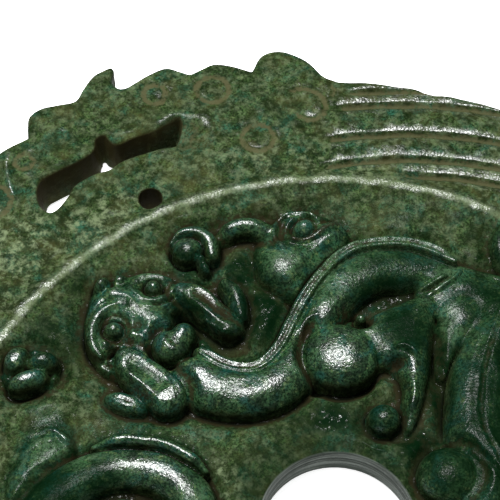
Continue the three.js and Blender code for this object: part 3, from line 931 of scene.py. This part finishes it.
def mottled_stone():
    """Cloudy colour with fine grain: a dark and a light tone, drifts of a third, and pale specks."""
    tones = [(name, COLOUR, (0.5, 0.5, 0.5, 1)) for name in ("Dark", "Light", "Drift", "Speck")]
    t, given, out = group(
        "mottled_stone", [PLACE, *tones, ("Speck amount", NUMBER, 0.5)],
        [("Color", COLOUR), ("Grain", NUMBER)]
    )
    place = given["Place"]
    cloud = t.noise(place, 0.0032, 4.0, 0.62, 0.5)
    drift = t.noise(place, 0.0055, 3.0, 0.6, 0.8)
    grain = t.noise(place, 0.0005, 3.0, 0.7)
    speck = t.noise(place, 0.0012, 4.0, 0.75)
    light = t.between(t.math("ADD", t.times(grain, 0.5), cloud), 0.58, 0.92)
    tone = t.mix(light, given["Dark"], given["Light"])
    tone = t.mix(t.between(drift, 0.44, 0.7, 0, 0.85), tone, given["Drift"])
    share = t.times(t.between(speck, 0.52, 0.68), given["Speck amount"], t.between(cloud, 0.36, 0.6, 0.2, 1))
    tone = t.mix(share, tone, given["Speck"])
    tone = t.mix(t.between(grain, 0.4, 0.58, 0.8, 0), tone, given["Dark"])
    t.put(out["Color"], tone)
    t.put(out["Grain"], grain)
    return t.tree


def pebbled_skin():
    """The dull skin of the border and the low ground: a darker net with meshes of about 2.4 mm, tan
    drifts and pale grains."""
    t, given, out = group("pebbled_skin", [PLACE], [("Net", NUMBER), ("Tan", NUMBER), ("Pale", NUMBER)])
    place = given["Place"]
    wobble = t.node("ShaderNodeTexNoise", {"Vector": place, "Scale": 1 / 0.0016}).outputs["Color"]
    shift = enumerate((wobble, (0.0022, 0.0022, 0.0022), place))
    moved = t.node("ShaderNodeVectorMath", shift, operation="MULTIPLY_ADD").outputs[0]
    cells = t.node("ShaderNodeTexVoronoi", {"Vector": moved, "Scale": 1 / 0.0024})
    t.put(out["Net"], t.between(cells.outputs["Distance"], 0.3, 0.75))
    t.put(out["Tan"], t.between(t.noise(place, 0.008, 5.0, 0.68, 0.4), 0.42, 0.68))
    t.put(out["Pale"], t.between(t.noise(place, 0.0018, 6.0, 0.74, 0.1), 0.45, 0.69))
    return t.tree


def settled_dirt():
    """Where brown earth lies: in drilled grooves and cut-back ground, patchy at its edges."""
    given_numbers = [("Stain", NUMBER, 0), ("Hollow", NUMBER, 0), ("Amount", NUMBER, 1)]
    t, given, out = group("settled_dirt", [PLACE, *given_numbers], [("Mask", NUMBER)])
    patchy = t.math("SUBTRACT", t.noise(given["Place"], 0.0013, 4.0, 0.7), 0.5)
    lain = t.math("ADD", given["Stain"], t.between(given["Hollow"], 0.15, 1.1, 0, 0.55))
    lain = t.math("ADD", lain, t.times(patchy, 2.2))
    t.put(out["Mask"], t.times(t.between(lain, 0.3, 0.95), given["Amount"]))
    return t.tree


DARK_GREEN = (0.0012, 0.007, 0.002, 1)
MID_GREEN = (0.02, 0.056, 0.02, 1)
TEAL = (0.004, 0.043, 0.034, 1)
OLIVE_SPECK = (0.085, 0.12, 0.042, 1)
BORDER_DARK = (0.003, 0.0085, 0.0018, 1)
BORDER_LIGHT = (0.03, 0.056, 0.018, 1)
BORDER_DRIFT = (0.013, 0.058, 0.036, 1)
BORDER_SPECK = (0.084, 0.112, 0.046, 1)
EARTH = (0.014, 0.011, 0.005, 1)
DRY_EARTH = (0.05, 0.049, 0.023, 1)
WALL_BROWN = (0.034, 0.028, 0.011, 1)
# paler green of worn relief, partly a painted soft sheen
RUBBED_SHEEN_GREEN = (0.052, 0.096, 0.05, 1)
# pale grains of the stone, and the painted highlight on the rim's crest
BLEACHED_AND_HIGHLIGHT = (0.125, 0.16, 0.085, 1)
NET_BROWN = (0.007, 0.012, 0.004, 1)
TAN = (0.044, 0.042, 0.014, 1)
# painted shade for the deepest hollows
PAINTED_PIT_SHADE = (0.0007, 0.0012, 0.0005, 1)
BORE_GREY = (0.115, 0.13, 0.118, 1)
BORE_DARK = (0.036, 0.043, 0.037, 1)


def placed(t, tree, **values):
    """A node group in a material, with its inputs set by name."""
    return t.feed(t.node("ShaderNodeGroup", node_tree=tree), values)


def readings(t):
    """What the jade material reads at a point: its place, its distance from the axis, how far it is into
    the border, and the maps on the mesh."""
    at = SimpleNamespace(place=t.node("ShaderNodeTexCoord").outputs["Object"])
    for name in ("hollow", "stain", "relief", "near_relief", "worn", "wax_and_shade", "pierced"):
        setattr(at, name, t.node("ShaderNodeAttribute", attribute_name=name).outputs["Fac"])
    split = t.node("ShaderNodeSeparateXYZ", {0: at.place})
    squares = [t.math("POWER", side, 2) for side in split.outputs[:2]]
    at.radius = t.math("SQRT", t.math("ADD", *squares))
    at.border = t.between(at.radius, (RIM_RADIUS - 3.5) * MM, (RIM_RADIUS - 1) * MM)
    return at


def stone_colour(t, at, polished, weathered):
    """Polished green on the relief, and on the ground near it too, partly as painted shade. The low ground
    and the border are lighter and duller.
    """
    dull = t.rest(t.highest(at.relief, t.times(at.near_relief, 0.85)))
    colour = t.mix(dull, polished["Color"], weathered["Color"])
    skin = placed(t, pebbled_skin(), Place=at.place)
    colour = t.mix(t.times(skin["Tan"], dull, 0.5), colour, TAN)
    colour = t.mix(t.times(skin["Net"], dull, 0.6), colour, NET_BROWN)
    pale = t.times(skin["Pale"], t.math("MULTIPLY_ADD", at.worn, 0.65, clamp=True, c=0.35), dull)
    colour = t.mix(pale, colour, BLEACHED_AND_HIGHLIGHT)
    # a painted highlight: the rim's crest is painted pale
    rim_highlight = t.math("ABSOLUTE", t.math("SUBTRACT", at.radius, (RIM_RADIUS - 0.4) * MM))
    rim_highlight = t.times(t.between(rim_highlight, 0, 1.2 * MM, 0.6, 0), t.between(polished["Grain"], 0.3, 0.6, 0.4, 1))
    colour = t.mix(rim_highlight, colour, BLEACHED_AND_HIGHLIGHT)
    # the worn relief is painted a little paler too, partly for wear and partly as a painted soft sheen
    rubbed_sheen = t.between(t.noise(at.place, 0.0014, 6.0, 0.8), 0.44, 0.62, 0.05, 0.75)
    return t.mix(t.times(rubbed_sheen, at.worn, at.relief, t.rest(at.wax_and_shade)), colour, RUBBED_SHEEN_GREEN)


def painted_shade_and_wax(t, at):
    """Painted shade: the ground beside the relief is painted darker, and the ground round the bore is darker
    too. The patches are painted dark as well, partly for wax and partly as painted shade.
    """
    low = t.highest(t.math("POWER", at.near_relief, 1.5), t.between(at.radius, 17 * MM, 28 * MM, 0.7, 0))
    low = t.times(low, t.rest(at.relief), 0.8)
    patchy = t.between(t.noise(at.place, 0.0035, 4.0, 0.65), 0.3, 0.6, 0.7, 1)
    return t.times(t.highest(low, t.times(at.wax_and_shade, patchy)), t.rest(at.border))


def soiled_and_shaded_colour(t, at, dirt, colour):
    """Brown earth in the grooves, painted shade near black in the deepest hollows, and brown walls in the
    openings.
    """
    colour = t.mix(dirt, colour, t.mix(at.border, EARTH, DRY_EARTH))
    # painted shade: the deepest hollows go near black
    colour = t.mix(t.between(at.hollow, 0.25, 1.3, 0, 0.95), colour, PAINTED_PIT_SHADE)
    return t.mix(t.times(at.pierced, 0.9), colour, WALL_BROWN)


def bore_colour(t, at, colour):
    """The bore's wall is grey, with the fine lines of the drill round it."""
    turned = t.node("ShaderNodeMapping", {"Scale": (0.04, 0.04, 1), "Vector": at.place})
    lines = t.between(t.noise(turned.outputs[0], 0.0011, 3.0, 0.7), 0.4, 0.62)
    bore = t.between(at.radius, (BORE_RADIUS + 0.1) * MM, (BORE_RADIUS + 0.5) * MM, 1, 0)
    return t.mix(bore, colour, t.mix(lines, BORE_DARK, BORE_GREY))


def polish(t, at, grain, dirt):
    """Gloss on the relief, most where it is rounded, on the border only where a ridge stands proud, and
    in specks. Wear, the wax-and-shade patches and dirt take it away."""
    on_relief = t.times(at.relief, t.between(at.hollow, -0.09, 0.01, 0.9, 0.2))
    proud = t.times(t.between(at.hollow, -0.2, -0.03, 0.9, 0), at.border)
    fleck = t.between(t.noise(at.place, 0.0012, 5.0, 0.8), 0.56, 0.63)
    fleck = t.times(fleck, t.highest(t.times(at.near_relief, 0.45), t.between(at.wax_and_shade, 0.7, 1)))
    gloss = t.highest(on_relief, t.highest(proud, fleck))
    worn = t.rest(t.times(at.worn, 0.85))
    soaked = t.rest(t.times(at.wax_and_shade, at.relief, 0.9))
    clean = t.rest(t.times(dirt, 0.7))
    return t.times(gloss, t.between(grain, 0.36, 0.54, 0.3, 1), worn, soaked, clean)


def new_material(name, **plain):
    """A material, its nodes and its shader's inputs, some of them set to the same value all over."""
    material = bpy.data.materials.new(name)
    material.use_nodes = True
    t = Shading(material.node_tree)
    shader = t.tree.nodes["Principled BSDF"]
    t.feed(shader, plain)
    return material, t, shader.inputs


def jade():
    material, t, shader = new_material("jade", Specular_IOR_Level=0.006, Coat_Roughness=0.28, Coat_IOR=1.7)
    at = readings(t)
    stone = mottled_stone()
    polished = placed(t, stone, Place=at.place, Dark=DARK_GREEN, Light=MID_GREEN, Drift=TEAL,
                      Speck=OLIVE_SPECK, Speck_amount=0.75)
    weathered = placed(t, stone, Place=at.place, Dark=BORDER_DARK, Light=BORDER_LIGHT, Drift=BORDER_DRIFT,
                       Speck=BORDER_SPECK, Speck_amount=0.6)
    grain = polished["Grain"]
    dirt = placed(t, settled_dirt(), Place=at.place, Stain=at.stain, Hollow=at.hollow, Amount=0.85)["Mask"]
    dirt = t.times(dirt, t.rest(t.times(at.wax_and_shade, 0.55)))
    # painted shade and wax: the stone is darkened towards dark green
    colour = t.mix(painted_shade_and_wax(t, at), stone_colour(t, at, polished, weathered), DARK_GREEN)
    t.put(shader["Base Color"], bore_colour(t, at, soiled_and_shaded_colour(t, at, dirt, colour)))
    t.put(shader["Roughness"], t.between(grain, 0.35, 0.65, 0.42, 0.6))
    t.put(shader["Coat Weight"], polish(t, at, grain, dirt))
    t.put(shader["Normal"], t.bump(grain, 0.09 * MM))
    # the polish lies over a fine tooling that breaks its shine up
    t.put(shader["Coat Normal"], t.bump(t.noise(at.place, 0.00055, 2.0, 0.6), 0.14 * MM))
    return material


# The floor, the light and the camera, in metres but for the camera's aim and distance

FLOOR_HALF = 1.5
AIM = (-16.75, 61.0, 8.3)
AIM_DISTANCE = 335.3
CAMERA_CLIMB = 59.16
FOCAL_LENGTH = 115.2
SENSOR_WIDTH = 36


def floor():
    far = FLOOR_HALF
    mesh = bpy.data.meshes.new("floor")
    mesh.from_pydata([(-far, -far, 0), (far, -far, 0), (far, far, 0), (-far, far, 0)], [], [(0, 1, 2, 3)])
    piece = shown("floor", mesh)
    pale = {"Base_Color": (0.9, 0.9, 0.9, 1), "Emission_Color": (1, 1, 1, 1)}
    mesh.materials.append(new_material("pale_floor", Roughness=0.9, Emission_Strength=0.9, **pale)[0])


def lamp(name, place, size, power, target=(0, 0.03, 0)):
    light = bpy.data.lights.new(name, "AREA")
    light.energy = power
    light.shape = "RECTANGLE"
    light.size, light.size_y = size
    piece = shown(name, light)
    piece.location = place
    piece.rotation_euler = (Vector(target) - Vector(place)).to_track_quat("-Z", "Y").to_euler()


def camera():
    climb = math.radians(CAMERA_CLIMB)
    lens = bpy.data.cameras.new("camera")
    lens.sensor_width = SENSOR_WIDTH
    lens.lens = FOCAL_LENGTH
    piece = shown("camera", lens)
    back = Vector((0, -math.cos(climb), math.sin(climb)))
    piece.location = Vector(AIM) * MM + AIM_DISTANCE * MM * back
    piece.rotation_euler = (math.pi / 2 - climb, 0, 0)
    bpy.context.scene.camera = piece


def studio():
    scene = bpy.context.scene
    scene.world = bpy.data.worlds.new("studio")
    scene.world.use_nodes = True
    background = scene.world.node_tree.nodes["Background"]
    background.inputs["Color"].default_value = (1, 1, 1, 1)
    background.inputs["Strength"].default_value = 0.12
    scene.view_settings.view_transform = "Standard"
    lamp("window", place=(-0.13, 0.21, 0.98), size=(0.36, 0.3), power=26)


disc = shown("carved_jade", carved_stone())
disc.data.materials.append(jade())
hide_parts("carved_disc")
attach(disc, "root")
floor()
camera()
studio()
